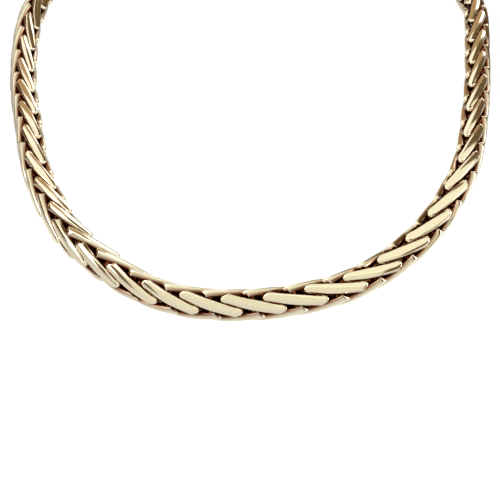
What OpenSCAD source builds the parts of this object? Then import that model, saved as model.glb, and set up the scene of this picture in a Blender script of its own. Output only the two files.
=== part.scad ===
// Wheat chain necklace in graduated links, closed by a plain barrel clasp at the nape.
// Each link is a twisted oval of round wire that passes through the next two links.
// Origin: middle of the neck opening, level with the nape. +X to the right of the front view,
// +Y towards the nape, +Z up.

/* [Loop] */
// Width of the loop between the middles of the chain
loop_w = 120; // [110:1:150]
// Depth of the loop from the front to the nape
loop_d = 105; // [95:1:130]
// Drop from the nape to the lowest point at the front
loop_drop = 94; // [80:1:120]

/* [Chain] */
// Width of the chain at the front
chain_w_front = 7.7; // [6:0.1:9]
// Width of the chain at the clasp
chain_w_back = 5.5; // [4.5:0.1:7]
// Least gap between links that pass through each other
link_gap = 0.26; // [0.24:0.01:0.4]

/* [Clasp] */
// Length of the barrel without its eyes
clasp_l = 11; // [9:0.5:18]
// Diameter of the barrel
clasp_d = 4.6; // [3.6:0.1:6.5]
// Width of the band at each end of the barrel
clasp_band_w = 1.3; // [0.8:0.1:1.8]
// Height of each band above the barrel
clasp_band_h = 0.3; // [0.2:0.05:0.6]
// Wire of the eyes
eye_wire = 1; // [0.8:0.05:1.2]
// Play of the end link's wire in its eye
eye_play = 0.3; // [0.15:0.05:0.5]

/* [Hidden] */

gold = [0.86, 0.70, 0.36];
$fn = 48;

// Shape of a link in shares of the pitch: columns are the length along the chain, the reach
// across it, and the swing towards the next series of bars; rows are its first four waves.
link_waves = [
    [1.397, 0.74, 0.266],
    [0, 0.185, 0.076],
    [-0.068, 0.059, 0.011],
    [-0.035, 0.012, -0.005]
];
// Sides of the wire, and the angles of the rings round half a link from one end to the other
wire_sides = 6;
half_rings = [0, 23, 44, 72, 108, 136, 157];
// Least distance between the middles of linked wires, as a share of the pitch
wire_room = 0.4;

link_half = link_waves[0][0] + link_waves[1][0] + link_waves[2][0] + link_waves[3][0];
bar_reach = link_waves[0][1] - link_waves[1][1] + link_waves[2][1] - link_waves[3][1];

pitch_front = (chain_w_front + link_gap) / (2 * bar_reach + wire_room);
pitch_back = (chain_w_back + link_gap) / (2 * bar_reach + wire_room);
wire_back = pitch_back * wire_room - link_gap;
// How the links shrink from the front towards the clasp
taper_power = 1.2;

// Each eye stands on the barrel's end and holds the wire of an end link.
eye_hole_d = wire_back / cos(180 / wire_sides) + 2 * eye_play;
eye_ring_r = (eye_hole_d + eye_wire) / 2;
eye_sink = eye_wire * 0.6;
// Middle of the clasp to the wire of an end link
clasp_reach = clasp_l / 2 + eye_ring_r + eye_wire / 2 - eye_sink;
// Angle between the two pairs of bars round the chain
bar_angle = 90;

// Route of the chain from the clasp's left eye to its right eye, in shares of the loop's width,
// depth and drop
route = [
    [-0.265, 0.46, -0.05],
    [-0.405, 0.35, -0.135],
    [-0.475, 0.205, -0.265],
    [-0.485, 0.05, -0.425],
    [-0.465, -0.105, -0.56],
    [-0.43, -0.25, -0.71],
    [-0.345, -0.385, -0.855],
    [-0.185, -0.475, -0.975],
    [0, -0.505, -1],
    [0.195, -0.475, -0.955],
    [0.34, -0.39, -0.845],
    [0.435, -0.27, -0.685],
    [0.47, -0.125, -0.53],
    [0.485, 0.035, -0.375],
    [0.485, 0.2, -0.245],
    [0.42, 0.35, -0.135],
    [0.275, 0.46, -0.05]
];
nape_y = 0.505;
// Roll of the chain about its own line: share of the way round and degrees from the outside
// of the loop towards its upper face
roll = [
    [0, 45],
    [0.15, 43],
    [0.21, 19],
    [0.32, 6],
    [0.37, 17],
    [0.4, 28],
    [0.43, 38],
    [0.48, 41],
    [0.55, 52],
    [0.7, 87],
    [0.8, 92],
    [1, 92]
];
// Direction that the upper face of the loop looks in
face_tilt = 38;
face_dir = [0, -sin(face_tilt), cos(face_tilt)];

function unit(v) = v / norm(v);

eye_left = [-clasp_reach, nape_y * loop_d, 0];
eye_right = [clasp_reach, nape_y * loop_d, 0];
stops = [for (r = route) [r[0] * loop_w, r[1] * loop_d, r[2] * loop_drop]];
last_stop = stops[len(stops) - 1];
// The first and last points only set the direction in which the chain leaves its eyes.
guides = [
    [2 * eye_left[0] - stops[0][0], stops[0][1], stops[0][2]],
    eye_left,
    each stops,
    eye_right,
    [2 * eye_right[0] - last_stop[0], last_stop[1], last_stop[2]]
];

span_steps = 24;
spans = len(guides) - 3;

function spline_at(a, b, c, d, u) =
    0.5 * (2 * b + (c - a) * u + (2 * a - 5 * b + 4 * c - d) * u * u
    + (3 * b - a - 3 * c + d) * u * u * u);
function line_at(i) =
    let (k = min(floor(i / span_steps), spans - 1), u = i / span_steps - k)
    spline_at(guides[k], guides[k + 1], guides[k + 2], guides[k + 3], u);

line_n = spans * span_steps;
line = [for (i = [0:line_n]) line_at(i)];
line_dir = [for (i = [0:line_n]) unit(line[min(i + 1, line_n)] - line[max(i - 1, 0)])];
step_l = [for (i = [0:line_n]) i == 0 ? 0 : norm(line[i] - line[i - 1])];
line_s = [for (i = 0, s = 0; i <= line_n; i = i + 1, s = s + (i <= line_n ? step_l[i] : 0)) s];
chain_l = line_s[line_n];

function pitch_at(s) =
    pitch_front + (pitch_back - pitch_front) * pow(abs(2 * s / chain_l - 1), taper_power);

line_count = [
    for (i = 0, q = 0; i <= line_n;
        i = i + 1, q = q + (i <= line_n ? step_l[i] / pitch_at((line_s[i] + line_s[i - 1]) / 2) : 0)) q
];
// Links in the whole chain, and the stretch that makes them fill it from eye to eye
link_n = round(line_count[line_n] - 2 * link_half + 1);
fit = line_count[line_n] / (link_n - 1 + 2 * link_half);

by_count_x = [for (i = [0:line_n]) [line_count[i] / fit, line[i][0]]];
by_count_y = [for (i = [0:line_n]) [line_count[i] / fit, line[i][1]]];
by_count_z = [for (i = [0:line_n]) [line_count[i] / fit, line[i][2]]];
by_count_dx = [for (i = [0:line_n]) [line_count[i] / fit, line_dir[i][0]]];
by_count_dy = [for (i = [0:line_n]) [line_count[i] / fit, line_dir[i][1]]];
by_count_dz = [for (i = [0:line_n]) [line_count[i] / fit, line_dir[i][2]]];
by_count_s = [for (i = [0:line_n]) [line_count[i] / fit, line_s[i]]];

// A place in the chain: q counts pitches along it, across and over are shares of the pitch.
function place(q, across, over) =
    let (
        s = lookup(q, by_count_s),
        p = pitch_at(s) * fit,
        mid = [lookup(q, by_count_x), lookup(q, by_count_y), lookup(q, by_count_z)],
        dir = unit([lookup(q, by_count_dx), lookup(q, by_count_dy), lookup(q, by_count_dz)]),
        up = unit(face_dir - (face_dir * dir) * dir),
        out = cross(dir, up),
        turn = lookup(s / chain_l, roll),
        bar = cos(turn) * out + sin(turn) * up,
        next = cos(turn) * up - sin(turn) * out
    )
    mid + p * (across * bar + over * next);

waves = [0:len(link_waves) - 1];
function sum(v, i = 0) = i == len(v) ? 0 : v[i] + sum(v, i + 1);
function along_wave(t) = sum([for (k = waves) link_waves[k][0] * cos((2 * k + 1) * t)]);
function across_wave(t) = sum([for (k = waves) link_waves[k][1] * sin((2 * k + 1) * t)]);
function swing_wave(t) = sum([for (k = waves) link_waves[k][2] * sin((2 * k + 2) * t)]);

// Middle of the wire of link number n at angle t round it; odd links are mirrored, so that
// their bars lie between those of their neighbours.
function wire_mid(n, t) =
    let (a = across_wave(t), b = swing_wave(t), odd = n % 2 == 1)
    place(link_half + n - along_wave(t), odd ? b : a, odd ? a : b);

half_n = len(half_rings);
link_rings = 2 * half_n;
function ring_angle(i) = half_rings[i % half_n] + 180 * floor(i / half_n);

// Across flats of the wire at count q of the pitches along the chain
function wire_at(q) = pitch_at(lookup(q, by_count_s)) * fit * wire_room - link_gap;

// One ring of points round the wire, with a flat side facing away from the link's middle
function ring(mids, n, i, heart) =
    let (
        mid = mids[i],
        before = unit(mid - mids[(i + link_rings - 1) % link_rings]),
        after = unit(mids[(i + 1) % link_rings] - mid),
        ahead = unit(before + after),
        away = mid - heart,
        out = unit(away - (away * ahead) * ahead),
        side = cross(ahead, out),
        q = link_half + n - along_wave(ring_angle(i)),
        r = wire_at(q) / 2 / cos(180 / wire_sides)
    )
    [for (j = [0:wire_sides - 1])
        let (w = 360 * (j + 0.5) / wire_sides)
        mid + r * (cos(w) * out + sin(w) * side)];

function link_points(n) =
    let (
        heart = place(link_half + n, 0, 0),
        mids = [for (i = [0:link_rings - 1]) wire_mid(n, ring_angle(i))]
    )
    [for (i = [0:link_rings - 1]) each ring(mids, n, i, heart)];

link_size = link_rings * wire_sides;
function link_faces(base) =
    [for (i = [0:link_rings - 1], j = [0:wire_sides - 1])
        let (
            a = base + i * wire_sides + j,
            b = base + i * wire_sides + (j + 1) % wire_sides,
            c = base + ((i + 1) % link_rings) * wire_sides + (j + 1) % wire_sides,
            d = base + ((i + 1) % link_rings) * wire_sides + j
        )
        each [[a, c, b], [a, d, c]]];

module chain(first, last) {
    polyhedron(
        points = [for (n = [first:last]) each link_points(n)],
        faces = [for (n = [first:last]) each link_faces((n - first) * link_size)],
        convexity = 10
    );
}

middle_link = floor(link_n / 2);

module chain_left() {
    color(gold)
        chain(0, middle_link - 1);
}

module chain_right() {
    color(gold)
        chain(middle_link, link_n - 1);
}

// Eye round the end of a link: its ring crosses the link's wire, which runs at this turn
// from straight up.
module eye(turn) {
    rotate([turn, 0, 0])
        rotate_extrude()
            translate([eye_ring_r, 0])
                circle(d = eye_wire);
}

// End of the barrel: a disc wider than the barrel, with its rims rounded
module band() {
    round_r = clasp_band_w / 3;
    band_r = clasp_d / 2 + clasp_band_h;
    rotate_extrude()
        union() {
            square([band_r - round_r, clasp_band_w]);
            translate([0, round_r])
                square([band_r, clasp_band_w - 2 * round_r]);
            for (z = [round_r, clasp_band_w - round_r])
                translate([band_r - round_r, z])
                    circle(r = round_r);
        }
}

module clasp() {
    color(gold)
        translate([0, nape_y * loop_d, 0]) {
            rotate([0, 90, 0]) {
                cylinder(d = clasp_d, h = clasp_l - 2 * clasp_band_w, center = true);
                for (side = [0, 1])
                    mirror([0, 0, side])
                        translate([0, 0, clasp_l / 2 - clasp_band_w])
                            band();
            }
            translate([-clasp_reach, 0, 0])
                eye(face_tilt + roll[0][1] + bar_angle / 2 - 90);
            translate([clasp_reach, 0, 0])
                eye(face_tilt + roll[len(roll) - 1][1] - bar_angle / 2 - 90);
        }
}

chain_left();
chain_right();
clasp();
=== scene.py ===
import bpy
import numpy as np
from math import sin, cos, pi, radians
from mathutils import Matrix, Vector


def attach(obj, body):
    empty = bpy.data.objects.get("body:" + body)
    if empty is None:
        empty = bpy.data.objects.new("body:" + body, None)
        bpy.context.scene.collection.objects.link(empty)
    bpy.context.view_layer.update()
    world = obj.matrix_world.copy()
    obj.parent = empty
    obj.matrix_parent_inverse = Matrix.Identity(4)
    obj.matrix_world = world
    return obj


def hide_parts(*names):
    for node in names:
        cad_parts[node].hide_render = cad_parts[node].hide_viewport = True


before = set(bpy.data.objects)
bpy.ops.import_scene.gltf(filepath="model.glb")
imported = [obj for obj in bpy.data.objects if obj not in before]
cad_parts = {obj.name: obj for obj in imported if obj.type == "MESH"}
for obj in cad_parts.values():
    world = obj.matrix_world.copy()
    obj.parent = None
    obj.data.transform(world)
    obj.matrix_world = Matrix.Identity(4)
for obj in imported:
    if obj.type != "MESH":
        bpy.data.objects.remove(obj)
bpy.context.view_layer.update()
mm = 0.001


def toLinear(hexColour):
    parts = [int(hexColour[i:i + 2], 16) / 255 for i in (1, 3, 5)]
    return tuple(c / 12.92 if c <= 0.04045 else ((c + 0.055) / 1.055) ** 2.4 for c in parts) + (1.0,)


def addNode(tree, kind, settings=None, inputs=None):
    node = tree.nodes.new(kind)
    for name, value in (settings or {}).items():
        setattr(node, name, value)
    for socket, value in (inputs or {}).items():
        target = node.inputs[socket]
        if isinstance(value, bpy.types.NodeSocket):
            tree.links.new(value, target)
        else:
            target.default_value = value
    return node


def addObject(name, data):
    obj = bpy.data.objects.new(name, data)
    bpy.context.scene.collection.objects.link(obj)
    return obj


# the chain's route and its graduation: the same sizes as the solids have

chainSizes = {
    "loopWidth": 120 * mm,  # between the middles of the chain
    "loopDepth": 105 * mm,  # front to back
    "loopDrop": 94 * mm,  # from the back to the lowest point
    "widthFront": 7.7 * mm,
    "widthBack": 5.5 * mm,
    "linkGap": 0.26 * mm,  # asked for between neighbouring wires in the solids
    "taperPower": 1.2,  # how long the chain keeps its front width
    "backY": 0.505,  # the clasp's place, as a share of the loop's depth
    "faceTilt": radians(38),  # slope of the loop at the front
    "curveSteps": 24,  # short straight steps between two points of the route
    "stationsPerPitch": 8,
    "stationMargin": 1,  # pitches kept past each end for the wire's own thickness
    "linkRoll": 0.04,  # most that a link may roll about the chain's line, either way, in radians
    "linkSway": 0.02,  # most that it may turn across that line
    "seedLeft": 3,
    "seedRight": 5,
}

claspSizes = {
    "barrelLength": 11 * mm,
    "eyeWire": 1.0 * mm,
    "eyePlay": 0.3 * mm,  # of the end link's wire in its eye
    "eyeSink": 0.6,  # share of the eye's wire that is sunk in the barrel's end
}

# waves of a link's middle line in shares of the pitch: along, across and towards the next bars
linkWaves = [(1.397, 0.74, 0.266), (0, 0.185, 0.076), (-0.068, 0.059, 0.011), (-0.035, 0.012, -0.005)]
wireRoom = 0.4  # least distance between the middles of linked wires, as a share of the pitch
wireSides = 6  # of the solids' wire

# points that the chain passes through, in shares of the loop's width, depth and drop
route = [
    (-0.265, 0.46, -0.05), (-0.405, 0.35, -0.135), (-0.475, 0.205, -0.265),
    (-0.485, 0.05, -0.425), (-0.465, -0.105, -0.56), (-0.43, -0.25, -0.71),
    (-0.345, -0.385, -0.855), (-0.185, -0.475, -0.975), (0, -0.505, -1),
    (0.195, -0.475, -0.955), (0.34, -0.39, -0.845), (0.435, -0.27, -0.685),
    (0.47, -0.125, -0.53), (0.485, 0.035, -0.375), (0.485, 0.2, -0.245),
    (0.42, 0.35, -0.135), (0.275, 0.46, -0.05),
]
# roll of the chain about its own line: share of the way round, degrees
roll = [
    (0, 45), (0.15, 43), (0.21, 19), (0.32, 6), (0.37, 17), (0.4, 28), (0.43, 38),
    (0.48, 41), (0.55, 52), (0.7, 87), (0.8, 92), (1, 92),
]

linkHalf = sum(w[0] for w in linkWaves)
barReach = linkWaves[0][1] - linkWaves[1][1] + linkWaves[2][1] - linkWaves[3][1]


def pitchFor(width):
    return (width + chainSizes["linkGap"]) / (2 * barReach + wireRoom)


pitchFront = pitchFor(chainSizes["widthFront"])
pitchBack = pitchFor(chainSizes["widthBack"])


def unit(v):
    return v / np.linalg.norm(v, axis=-1, keepdims=True)


def claspReach():
    # from the clasp's middle to the middle of its eye, where the chain's line begins
    c = claspSizes
    wireBack = pitchBack * wireRoom - chainSizes["linkGap"]
    hole = wireBack / cos(pi / wireSides) + 2 * c["eyePlay"]
    ringR = (hole + c["eyeWire"]) / 2
    return c["barrelLength"] / 2 + ringR + c["eyeWire"] / 2 - c["eyeSink"] * c["eyeWire"]


def chainLine():
    # a smooth curve from eye to eye through the route's points
    s = chainSizes
    reach = claspReach()
    eyeLeft = np.array([-reach, s["backY"] * s["loopDepth"], 0])
    eyeRight = np.array([reach, s["backY"] * s["loopDepth"], 0])
    stops = np.array(route) * np.array([s["loopWidth"], s["loopDepth"], s["loopDrop"]])
    before = np.array([2 * eyeLeft[0] - stops[0][0], stops[0][1], stops[0][2]])
    after = np.array([2 * eyeRight[0] - stops[-1][0], stops[-1][1], stops[-1][2]])
    guides = np.vstack([before, eyeLeft, stops, eyeRight, after])
    steps = s["curveSteps"]
    spans = len(guides) - 3
    line = []
    for i in range(spans * steps + 1):
        k = min(i // steps, spans - 1)
        u = i / steps - k
        a, b, c, d = guides[k:k + 4]
        line.append(0.5 * (2 * b + (c - a) * u + (2 * a - 5 * b + 4 * c - d) * u ** 2
                           + (3 * b - a - 3 * c + d) * u ** 3))
    return np.array(line)


def chainStations():
    # evenly counted places along the chain, each with its middle and its two directions across
    s = chainSizes
    line = chainLine()
    steps = np.linalg.norm(np.diff(line, axis=0), axis=1)
    run = np.r_[0, np.cumsum(steps)]
    total = run[-1]

    def pitchAt(q):
        return pitchFront + (pitchBack - pitchFront) * np.abs(2 * q / total - 1) ** s["taperPower"]

    # pitches counted from the left eye, stretched a little so that a whole number of links fits
    count = np.r_[0, np.cumsum(steps / pitchAt((run[1:] + run[:-1]) / 2))]
    linkCount = int(round(count[-1] - 2 * linkHalf + 1))
    fit = count[-1] / (linkCount - 1 + 2 * linkHalf)
    count = count / fit
    ahead = unit(np.vstack([line[1:2] - line[:1], line[2:] - line[:-2], line[-1:] - line[-2:-1]]))
    margin, per = s["stationMargin"], s["stationsPerPitch"]
    places = np.arange(-margin * per, int((count[-1] + margin) * per) + 2) / per
    mid = np.stack([np.interp(places, count, line[:, i]) for i in range(3)], 1)
    direction = unit(np.stack([np.interp(places, count, ahead[:, i]) for i in range(3)], 1))
    arc = np.interp(places, count, run)
    pitch = pitchAt(arc) * fit
    early, late = places < 0, places > count[-1]
    mid[early] += (places[early] * pitch[early])[:, None] * direction[early]
    mid[late] += ((places[late] - count[-1]) * pitch[late])[:, None] * direction[late]

    # directions of the bars of one link and of the next, as long as one pitch
    face = np.array([0, -sin(s["faceTilt"]), cos(s["faceTilt"])])
    up = unit(face - (direction @ face)[:, None] * direction)
    out = np.cross(direction, up)
    turn = np.radians(np.interp(arc / total, [r[0] for r in roll], [r[1] for r in roll]))[:, None]
    bar = (np.cos(turn) * out + np.sin(turn) * up) * pitch[:, None]
    nextBar = (np.cos(turn) * up - np.sin(turn) * out) * pitch[:, None]
    return {"mid": mid, "bar": bar, "next": nextBar, "linkCount": linkCount}


# one link, in shares of the pitch

linkSizes = {
    "rings": 96,
    "wireWidth": 0.258,  # half of the wire's width at the bars
    "wireRise": 0.235,  # from the wire's middle outwards, before the flat is cut
    "wireDepth": 0.31,  # from the wire's middle towards the inside of the link
    "capDepth": 0.5,  # the same at the link's ends, which fill the chain's core
    "capSharpness": 8,  # how close to the link's ends that fuller wire stays
    "spread": 1.09,  # how far the bars stand out, so that their flats reach the chain's width
    "cutHeight": 0.12,  # polished flat above the wire's middle
    "leastCut": 0.06,  # angle of the narrow crest that is left where no flat is cut
    "crownAcross": 0.03,  # how far the flat is domed across the wire
    "crownAlong": 0.04,  # how far it falls, one pitch from the link's middle
    "leastEdge": 0.05,  # narrowest half width that the dome is worked out for
    "bevel": 0.12,  # angle of the flat's bevel, seen from the wire's middle
    "bevelOuter": 0.6,  # share of that angle that the bevel takes beyond the flat's edge
    "capWidth": 0.6,  # width at the link's ends, as a share of that at the bars
    "capTaper": 2,  # how suddenly the wire narrows there
    "innerWidth": 0.37,  # half of the wire's width towards the inside of the link
    "capInner": 0.5,  # the same at the link's ends
    "innerFrom": 1.65,  # angle from the flat's middle where the width turns to that of the inside
    "innerSpan": 0.8,  # angle over which it turns
    "arcSteps": 5,  # from each bevel to the inside of the wire
    "crowd": 0.2,  # how far the rings crowd towards the link's ends
    "wayStep": 0.01,  # step round the link that gives the direction of its wire
    "leastOut": 0.01,  # least share of the wire's rise that points across the chain
    "sideShade": 0.22,  # how much more painted shade the inside of the wire gets than its flat
    "shadeFrom": 1.3,  # angle from the flat's middle where that shade begins
    "shadeSpan": 0.6,  # angle over which it grows
}


def linkMid(t):
    waves = range(len(linkWaves))
    a = -sum(linkWaves[k][0] * np.cos((2 * k + 1) * t) for k in waves)
    b = sum(linkWaves[k][1] * np.sin((2 * k + 1) * t) for k in waves)
    c = sum(linkWaves[k][2] * np.sin((2 * k + 2) * t) for k in waves)
    return np.stack([a, b, c], -1)


def sectionAngles(cut):
    # angles round each ring: flat, bevel and back, then the same on the other side
    z = linkSizes
    bevel = np.minimum(z["bevel"], cut / 3)
    first = cut + z["bevelOuter"] * bevel
    steps = z["arcSteps"]
    half = [cut / 2 - bevel, cut - 2 * bevel, cut - bevel, first]
    half += [first + (pi - first) * k / steps for k in range(1, steps)]
    back = [-a for a in reversed(half)]
    return np.stack([first * 0] + half + [first * 0 + pi] + back, 1)


def linkPoints():
    z = linkSizes
    base = 2 * pi * np.arange(z["rings"]) / z["rings"]
    t = base - z["crowd"] * np.sin(2 * base)
    spread = np.array([1, z["spread"], z["spread"]])
    mid = linkMid(t) * spread
    step = z["wayStep"]
    ahead = unit((linkMid(t + step) - linkMid(t - step)) * spread)
    out = unit(np.stack([-ahead[:, 1], ahead[:, 0], 0 * t], 1))
    side = np.cross(ahead, out)
    narrow = z["capWidth"] + (1 - z["capWidth"]) * np.sin(t) ** z["capTaper"]
    rise = z["wireRise"] * (0.5 + 0.5 * narrow)

    # the wire is cut nearly flat where it passes the plane of the bars' outer faces
    plane = barReach * z["spread"] + z["cutHeight"]
    planeAt = plane - z["crownAlong"] * mid[:, 0] ** 2
    riseAcross = np.maximum(np.abs(out[:, 1]), z["leastOut"]) * rise
    cut = np.arccos(np.clip((planeAt - np.abs(mid[:, 1])) / riseAcross, -1, 1))
    cut = np.maximum(cut, z["leastCut"])
    angles = sectionAngles(cut)

    # towards the inside of the link and at its ends the wire is fuller
    core = (np.cos(t) ** z["capSharpness"])[:, None]
    inner = np.clip((np.abs(angles) - z["innerFrom"]) / z["innerSpan"], 0, 1)
    innerWidth = z["innerWidth"] + (z["capInner"] - z["innerWidth"]) * core
    wide = z["wireWidth"] * narrow[:, None] * (1 - inner) + innerWidth * inner
    wide *= np.sin(angles)
    depth = z["wireDepth"] + (z["capDepth"] - z["wireDepth"]) * core
    high = np.cos(angles) * np.where(np.cos(angles) < 0, depth, rise[:, None])
    points = mid[:, None] + high[..., None] * out[:, None] - wide[..., None] * side[:, None]

    # the flat keeps a slight dome across the wire
    edge = np.maximum(np.sin(cut), z["leastEdge"])[:, None]
    dome = np.maximum(1 - (np.sin(angles) / edge) ** 2, 0) * (np.cos(angles) > 0)
    limit = planeAt[:, None] + z["crownAcross"] * (dome * np.minimum(edge * 2, 1) - 1)
    points[..., 1] = np.clip(points[..., 1], -limit, limit)
    return points, angles, plane


def addWireUv(mesh, rings, across):
    # u runs along the wire and v round it, so that the polish marks follow the wire
    uv = mesh.uv_layers.new(name="wireUv")
    for face in mesh.polygons:
        i, j = divmod(face.index, across)
        for loop in face.loop_indices:
            ring, spot = divmod(mesh.loops[loop].vertex_index, across)
            u = ring / rings + (1 if ring < i else 0)
            v = spot / across + (1 if spot < j else 0)
            uv.data[loop].uv = (u, v)


def makeLink(name, swapped):
    # a swapped link has its bars a quarter of a turn on, as every second link of the chain has
    z = linkSizes
    points, angles, plane = linkPoints()
    rings, across = angles.shape
    if swapped:
        points = points[..., [0, 2, 1]]
    points = points.reshape(-1, 3)
    faces = []
    for i in range(rings):
        for j in range(across):
            here, ahead = i * across, (i + 1) % rings * across
            a, b = here + j, here + (j + 1) % across
            d, c = ahead + j, ahead + (j + 1) % across
            faces.append((a, d, c, b) if swapped else (a, b, c, d))
    mesh = bpy.data.meshes.new(name)
    mesh.from_pydata([tuple(p) for p in points], [], faces)
    addWireUv(mesh, rings, across)

    # share of the chain's half width that a point reaches, less on the wire's inside; from it the gold is
    # painted darker and redder, as shade in the chain's core and on the wires' insides
    shade = np.clip((np.abs(angles) - z["shadeFrom"]) / z["shadeSpan"], 0, 1)
    reach = np.hypot(points[:, 1], points[:, 2]) / plane - z["sideShade"] * shade.ravel()
    layer = mesh.attributes.new("reach", "FLOAT", "POINT")
    layer.data.foreach_set("value", reach.astype(np.float32))
    return addObject(name, mesh)


# the links placed along the chain

def makeStations(stations):
    mesh = bpy.data.meshes.new("stations")
    mesh.from_pydata([tuple(p) for p in stations["mid"]], [], [])
    for name in ("bar", "next"):
        layer = mesh.attributes.new(name, "FLOAT_VECTOR", "POINT")
        layer.data.foreach_set("vector", stations[name].astype(np.float32).ravel())
    return addObject("stations", mesh)


def chainTree():
    tree = bpy.data.node_groups.new("chain along stations", "GeometryNodeTree")
    face = tree.interface
    face.new_socket("Geometry", in_out="INPUT", socket_type="NodeSocketGeometry")
    for name, kind in (("Even Link", "NodeSocketObject"), ("Odd Link", "NodeSocketObject"),
                       ("First Link", "NodeSocketInt"), ("Link Count", "NodeSocketInt"),
                       ("Link Half", "NodeSocketFloat"), ("Stations Per Pitch", "NodeSocketFloat"),
                       ("Margin", "NodeSocketFloat"), ("Link Roll", "NodeSocketFloat"),
                       ("Link Sway", "NodeSocketFloat"), ("Seed", "NodeSocketInt"),
                       ("Material", "NodeSocketMaterial")):
        face.new_socket(name, in_out="INPUT", socket_type=kind)
    face.new_socket("Geometry", in_out="OUTPUT", socket_type="NodeSocketGeometry")
    into = addNode(tree, "NodeGroupInput").outputs

    # a row of links one pitch apart, every second one of the swapped kind, each a little askew
    start = addNode(tree, "ShaderNodeMath", {"operation": "ADD"},
                    {0: into["First Link"], 1: into["Link Half"]}).outputs[0]
    startAt = addNode(tree, "ShaderNodeCombineXYZ", None, {"X": start}).outputs[0]
    row = addNode(tree, "GeometryNodeMeshLine", {"mode": "OFFSET"},
                  {"Count": into["Link Count"], "Start Location": startAt, "Offset": (1, 0, 0)}).outputs[0]
    number = addNode(tree, "GeometryNodeInputIndex").outputs[0]
    most = addNode(tree, "ShaderNodeCombineXYZ", None,
                   {"X": into["Link Roll"], "Y": into["Link Sway"], "Z": into["Link Sway"]}).outputs[0]
    least = addNode(tree, "ShaderNodeVectorMath", {"operation": "SCALE"},
                    {0: most, "Scale": -1.0}).outputs[0]
    tilt = addNode(tree, "FunctionNodeRandomValue", {"data_type": "FLOAT_VECTOR"},
                   {0: least, 1: most, "ID": number, "Seed": into["Seed"]}).outputs[0]
    place = addNode(tree, "ShaderNodeMath", {"operation": "ADD"},
                    {0: number, 1: into["First Link"]}).outputs[0]
    odd = addNode(tree, "ShaderNodeMath", {"operation": "MODULO"}, {0: place, 1: 2.0}).outputs[0]
    joined = addNode(tree, "GeometryNodeJoinGeometry")
    for name, test in (("Odd Link", "GREATER_THAN"), ("Even Link", "LESS_THAN")):
        chosen = addNode(tree, "ShaderNodeMath", {"operation": test}, {0: odd, 1: 0.5}).outputs[0]
        shape = addNode(tree, "GeometryNodeObjectInfo", None, {"Object": into[name]}).outputs["Geometry"]
        placed = addNode(tree, "GeometryNodeInstanceOnPoints", None,
                         {"Points": row, "Selection": chosen, "Instance": shape,
                          "Rotation": tilt}).outputs[0]
        tree.links.new(placed, joined.inputs[0])
    real = addNode(tree, "GeometryNodeRealizeInstances", None, {"Geometry": joined.outputs[0]}).outputs[0]

    # each point of a link goes to its place between two stations of the chain's line
    position = addNode(tree, "GeometryNodeInputPosition").outputs[0]
    xyz = addNode(tree, "ShaderNodeSeparateXYZ", None, {0: position}).outputs
    along = addNode(tree, "ShaderNodeMath", {"operation": "ADD"},
                    {0: xyz["X"], 1: into["Margin"]}).outputs[0]
    spot = addNode(tree, "ShaderNodeMath", {"operation": "MULTIPLY"},
                   {0: along, 1: into["Stations Per Pitch"]}).outputs[0]
    low = addNode(tree, "ShaderNodeMath", {"operation": "FLOOR"}, {0: spot}).outputs[0]
    high = addNode(tree, "ShaderNodeMath", {"operation": "ADD"}, {0: low, 1: 1.0}).outputs[0]
    part = addNode(tree, "ShaderNodeMath", {"operation": "FRACT"}, {0: spot}).outputs[0]

    def between(value):
        ends = []
        for index in (low, high):
            ends.append(addNode(tree, "GeometryNodeSampleIndex",
                                {"data_type": "FLOAT_VECTOR", "domain": "POINT"},
                                {"Geometry": into["Geometry"], "Value": value, "Index": index}).outputs[0])
        # inputs 4 and 5 and output 1 of a mix are its vectors
        return addNode(tree, "ShaderNodeMix", {"data_type": "VECTOR"},
                       {0: part, 4: ends[0], 5: ends[1]}).outputs[1]

    target = between(position)
    for name, share in (("bar", xyz["Y"]), ("next", xyz["Z"])):
        way = addNode(tree, "GeometryNodeInputNamedAttribute", {"data_type": "FLOAT_VECTOR"},
                      {"Name": name}).outputs["Attribute"]
        aside = addNode(tree, "ShaderNodeVectorMath", {"operation": "SCALE"},
                        {0: between(way), "Scale": share}).outputs[0]
        target = addNode(tree, "ShaderNodeVectorMath", {"operation": "ADD"},
                         {0: target, 1: aside}).outputs[0]
    bent = addNode(tree, "GeometryNodeSetPosition", None,
                   {"Geometry": real, "Position": target}).outputs[0]
    smooth = addNode(tree, "GeometryNodeSetShadeSmooth", None, {"Geometry": bent}).outputs[0]
    dressed = addNode(tree, "GeometryNodeSetMaterial", None,
                      {"Geometry": smooth, "Material": into["Material"]}).outputs[0]
    addNode(tree, "NodeGroupOutput", None, {"Geometry": dressed})
    return tree


def makeChain(name, tree, stationPiece, first, count, links, material, seed):
    s = chainSizes
    mod = stationPiece.modifiers.new("chain", "NODES")
    mod.node_group = tree
    ids = {item.name: item.identifier for item in tree.interface.items_tree if item.in_out == "INPUT"}
    values = {"Even Link": links[0], "Odd Link": links[1], "First Link": first, "Link Count": count,
              "Link Half": float(linkHalf), "Stations Per Pitch": float(s["stationsPerPitch"]),
              "Margin": float(s["stationMargin"]), "Link Roll": s["linkRoll"],
              "Link Sway": s["linkSway"], "Seed": seed, "Material": material}
    for key, value in values.items():
        mod[ids[key]] = value
    bpy.context.view_layer.update()
    depsgraph = bpy.context.evaluated_depsgraph_get()
    mesh = bpy.data.meshes.new_from_object(stationPiece.evaluated_get(depsgraph))
    stationPiece.modifiers.remove(mod)
    mesh.name = name
    print(name, "has", count, "links and", len(mesh.polygons), "faces")
    return addObject(name, mesh)


# materials

goldFinish = {
    "flatColour": "#F2E8CE",
    # painted shade: the red-brown given to the recesses and the wires' insides, where they mostly mirror
    # other links
    "paintedShadeColour": "#80482A",
    "fullShadeReach": 0.6,  # share of the chain's half width up to which the gold has the full painted shade colour
    "flatReach": 0.92,  # and from which it has its flat colour
    "wireRun": 41.28 * mm,  # along the wire of a front link, once round
    "wireRound": 8.4 * mm,  # round the wire itself
    "markLength": 1.72 * mm,  # of a polish mark
    "markWidth": 0.035 * mm,  # too fine to be seen one by one: together they soften the shine
    "roughLeast": 0.08,
    "roughMost": 0.16,
}


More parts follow.
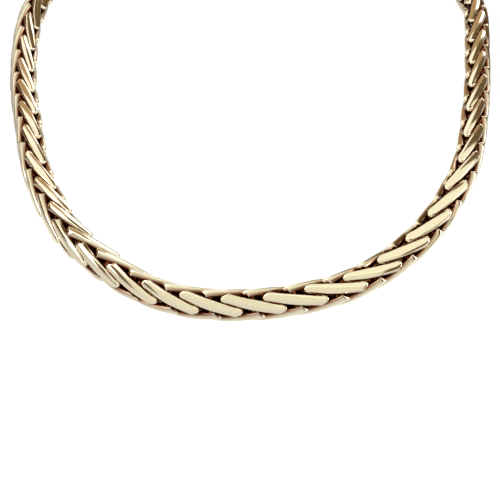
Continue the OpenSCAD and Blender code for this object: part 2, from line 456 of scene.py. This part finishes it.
def polishedGold(name):
    # pale yellow gold: mirror-like flats with faint lengthwise polish marks, and red-brown shade painted
    # into the recesses
    g = goldFinish
    mat = bpy.data.materials.new(name)
    mat.use_nodes = True
    tree = mat.node_tree
    gold = tree.nodes["Principled BSDF"]
    gold.inputs["Metallic"].default_value = 1.0
    # painted shade: the gold is coloured darker and redder where the reach attribute is low
    reach = addNode(tree, "ShaderNodeAttribute", {"attribute_name": "reach"}).outputs["Fac"]
    unshadedShare = addNode(tree, "ShaderNodeMapRange", None,
                       {"Value": reach, "From Min": g["fullShadeReach"],
                        "From Max": g["flatReach"]}).outputs[0]
    # inputs 6 and 7 and output 2 of a mix are its colours
    colour = addNode(tree, "ShaderNodeMix", {"data_type": "RGBA"},
                     {0: unshadedShare, 6: toLinear(g["paintedShadeColour"]), 7: toLinear(g["flatColour"])}).outputs[2]
    tree.links.new(colour, gold.inputs["Base Color"])
    uv = addNode(tree, "ShaderNodeUVMap", {"uv_map": "wireUv"}).outputs[0]
    marksPerTurn = (g["wireRun"] / g["markLength"], g["wireRound"] / g["markWidth"], 1)
    along = addNode(tree, "ShaderNodeMapping", None, {"Vector": uv, "Scale": marksPerTurn}).outputs[0]
    marks = addNode(tree, "ShaderNodeTexNoise", None,
                    {"Vector": along, "Scale": 1.0, "Detail": 3.0}).outputs[0]
    rough = addNode(tree, "ShaderNodeMapRange", None,
                    {"Value": marks, "To Min": g["roughLeast"], "To Max": g["roughMost"]}).outputs[0]
    tree.links.new(rough, gold.inputs["Roughness"])
    return mat


claspFinish = {
    "colour": "#F2E8CE",
    "ringSpacing": 0.25 * mm,  # between the marks of the lathe
    "ringReach": 6.667 * mm,  # how far a mark runs round the barrel
    "roughLeast": 0.12,
    "roughMost": 0.26,
}


def claspGold(name):
    # the same gold on a barrel turned on a lathe: faint rings round its length
    c = claspFinish
    mat = bpy.data.materials.new(name)
    mat.use_nodes = True
    tree = mat.node_tree
    gold = tree.nodes["Principled BSDF"]
    gold.inputs["Base Color"].default_value = toLinear(c["colour"])
    gold.inputs["Metallic"].default_value = 1.0
    place = addNode(tree, "ShaderNodeTexCoord").outputs["Object"]
    ringScale = (1 / c["ringSpacing"], 1 / c["ringReach"], 1 / c["ringReach"])
    rings = addNode(tree, "ShaderNodeMapping", None, {"Vector": place, "Scale": ringScale}).outputs[0]
    marks = addNode(tree, "ShaderNodeTexNoise", None,
                    {"Vector": rings, "Scale": 1.0, "Detail": 2.0}).outputs[0]
    rough = addNode(tree, "ShaderNodeMapRange", None,
                    {"Value": marks, "To Min": c["roughLeast"], "To Max": c["roughMost"]}).outputs[0]
    tree.links.new(rough, gold.inputs["Roughness"])
    return mat


stations = chainStations()
linkCount = stations["linkCount"]
print("the route holds", linkCount, "links")
links = (makeLink("evenLink", False), makeLink("oddLink", True))
stationPiece = makeStations(stations)
tree = chainTree()
goldLinks = polishedGold("polished yellow gold links")
middle = linkCount // 2
chainLeft = makeChain("links_left", tree, stationPiece, 0, middle, links, goldLinks,
                      chainSizes["seedLeft"])
chainRight = makeChain("links_right", tree, stationPiece, middle, linkCount - middle, links, goldLinks,
                       chainSizes["seedRight"])
for helper in (*links, stationPiece):
    bpy.data.objects.remove(helper)
for piece, node in ((chainLeft, "chain_left"), (chainRight, "chain_right")):
    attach(piece, "root")
    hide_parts(node)

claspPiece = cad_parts["clasp"]
claspPiece.data.materials.clear()
claspPiece.data.materials.append(claspGold("polished yellow gold clasp"))
print("clasp dressed")

# camera, floor and light

view = {
    "elevation": radians(5),
    "distance": 650 * mm,
    "aim": (0, -52 * mm, -81 * mm),
    "pixelsPerMm": 4.21,  # at the point aimed at
    "pictureWidth": 500,  # pixels
    "sensorWidth": 36,  # of the camera, in millimetres
    "nearest": 10 * mm,
}


def makeCamera():
    v = view
    data = bpy.data.cameras.new("camera")
    data.sensor_width = v["sensorWidth"]
    data.lens = v["sensorWidth"] * v["pixelsPerMm"] * v["distance"] / mm / v["pictureWidth"]
    data.clip_start = v["nearest"]
    cam = addObject("camera", data)
    backwards = Vector((0, -cos(v["elevation"]), sin(v["elevation"])))
    cam.location = Vector(v["aim"]) + v["distance"] * backwards
    cam.rotation_euler = (pi / 2 - v["elevation"], 0, 0)
    bpy.context.scene.camera = cam


# metres: a sweep of paper below the chain that turns up behind it
sweepSizes = {
    "front": -2.0,
    "back": 2.2,
    "halfWidth": 2.5,
    "level": -0.17,
    "rise": 2.0,
    "bend": 0.5,
    "bendSteps": 12,
}

# glow of the paper: dimmer in front and to the sides, so that the links don't mirror pure white there
paperGlow = {
    "frontY": 0.0,
    "front": 0.5,
    "backY": 0.1,
    "back": 0.92,
    "middleX": 0.3,
    "middle": 1.0,
    "asideX": 0.7,
    "aside": 0.5,
}


def whitePaper():
    # matt white paper that glows of itself, so that it looks blank and free of shadows
    g = paperGlow
    mat = bpy.data.materials.new("white paper")
    mat.use_nodes = True
    tree = mat.node_tree
    paper = tree.nodes["Principled BSDF"]
    paper.inputs["Base Color"].default_value = toLinear("#8C8C8C")
    paper.inputs["Roughness"].default_value = 0.9
    paper.inputs["Emission Color"].default_value = (1, 1, 1, 1)
    place = addNode(tree, "ShaderNodeTexCoord").outputs["Object"]
    way = addNode(tree, "ShaderNodeSeparateXYZ", None, {0: place}).outputs
    depthGlow = addNode(tree, "ShaderNodeMapRange", None,
                        {"Value": way["Y"], "From Min": g["frontY"], "From Max": g["backY"],
                         "To Min": g["front"], "To Max": g["back"]}).outputs[0]
    aside = addNode(tree, "ShaderNodeMath", {"operation": "ABSOLUTE"}, {0: way["X"]}).outputs[0]
    sideGlow = addNode(tree, "ShaderNodeMapRange", None,
                       {"Value": aside, "From Min": g["middleX"], "From Max": g["asideX"],
                        "To Min": g["middle"], "To Max": g["aside"]}).outputs[0]
    glow = addNode(tree, "ShaderNodeMath", {"operation": "MULTIPLY"},
                   {0: depthGlow, 1: sideGlow}).outputs[0]
    tree.links.new(glow, paper.inputs["Emission Strength"])
    return mat


def makeFloor():
    w = sweepSizes
    outline = [(w["front"], w["level"])]
    for k in range(w["bendSteps"] + 1):
        turn = pi / 2 * k / w["bendSteps"]
        outline.append((w["back"] - w["bend"] + w["bend"] * sin(turn),
                        w["level"] + w["bend"] - w["bend"] * cos(turn)))
    outline.append((w["back"], w["level"] + w["rise"]))
    points = [(x, y, z) for y, z in outline for x in (-w["halfWidth"], w["halfWidth"])]
    faces = [(2 * i, 2 * i + 1, 2 * i + 3, 2 * i + 2) for i in range(len(outline) - 1)]
    mesh = bpy.data.meshes.new("sweep")
    mesh.from_pydata(points, [], faces)
    mesh.shade_smooth()
    mesh.materials.append(whitePaper())
    addObject("sweep", mesh)


# name, place, point aimed at, width and height in metres, watts and colour
lights = [
    ("front softbox", (0, -1.5, 0.1), (0, 0, -0.08), (2.4, 1.5), 9.1, "#FAFFF4"),
    ("left panel", (-1.15, -0.55, 0.25), (0, 0, -0.05), (0.5, 0.9), 3.4, "#FFFFFF"),
    ("right strip", (1.1, -0.3, 0.3), (0, 0, -0.05), (0.25, 1.0), 4.5, "#FFFFFF"),
    ("top panel", (0, -0.49, 0.45), (0, -0.49, 0), (1.4, 0.8), 3.4, "#FAFFF4"),
    ("rim strip", (-0.44, -0.53, 0.44), (-0.44, -0.53, 0), (0.7, 0.12), 1.8, "#FFFFFF"),
    ("top left panel", (-0.21, 0.0, 0.45), (-0.21, 0.0, 0), (0.58, 0.17), 0.34, "#FFFFFF"),
    ("back panel", (0.25, 0.33, 0.45), (0.25, 0.33, 0), (0.26, 0.36), 0.7, "#FFFFFF"),
    ("warm panel", (-0.18, 0.29, 0.45), (-0.18, 0.29, 0), (0.6, 0.4), 0.25, "#FFD6AA"),
]


def makeLight(name, place, aim, size, power, colour):
    data = bpy.data.lights.new(name, "AREA")
    data.shape = "RECTANGLE"
    data.size, data.size_y = size
    data.energy = power
    data.color = toLinear(colour)[:3]
    lamp = addObject(name, data)
    lamp.location = place
    lamp.rotation_euler = (Vector(aim) - Vector(place)).to_track_quat("-Z", "Y").to_euler()


def makeWorld(colour, strength):
    world = bpy.data.worlds.new("studio")
    bpy.context.scene.world = world
    world.use_nodes = True
    back = world.node_tree.nodes["Background"]
    back.inputs["Color"].default_value = toLinear(colour)
    back.inputs["Strength"].default_value = strength


makeCamera()
makeFloor()
makeWorld("#AD8C58", 0.35)  # warm and dim, which tints what the links mirror of the room
for light in lights:
    makeLight(*light)
bpy.context.scene.view_settings.view_transform = "Standard"
print("studio set with", len(lights), "lights")
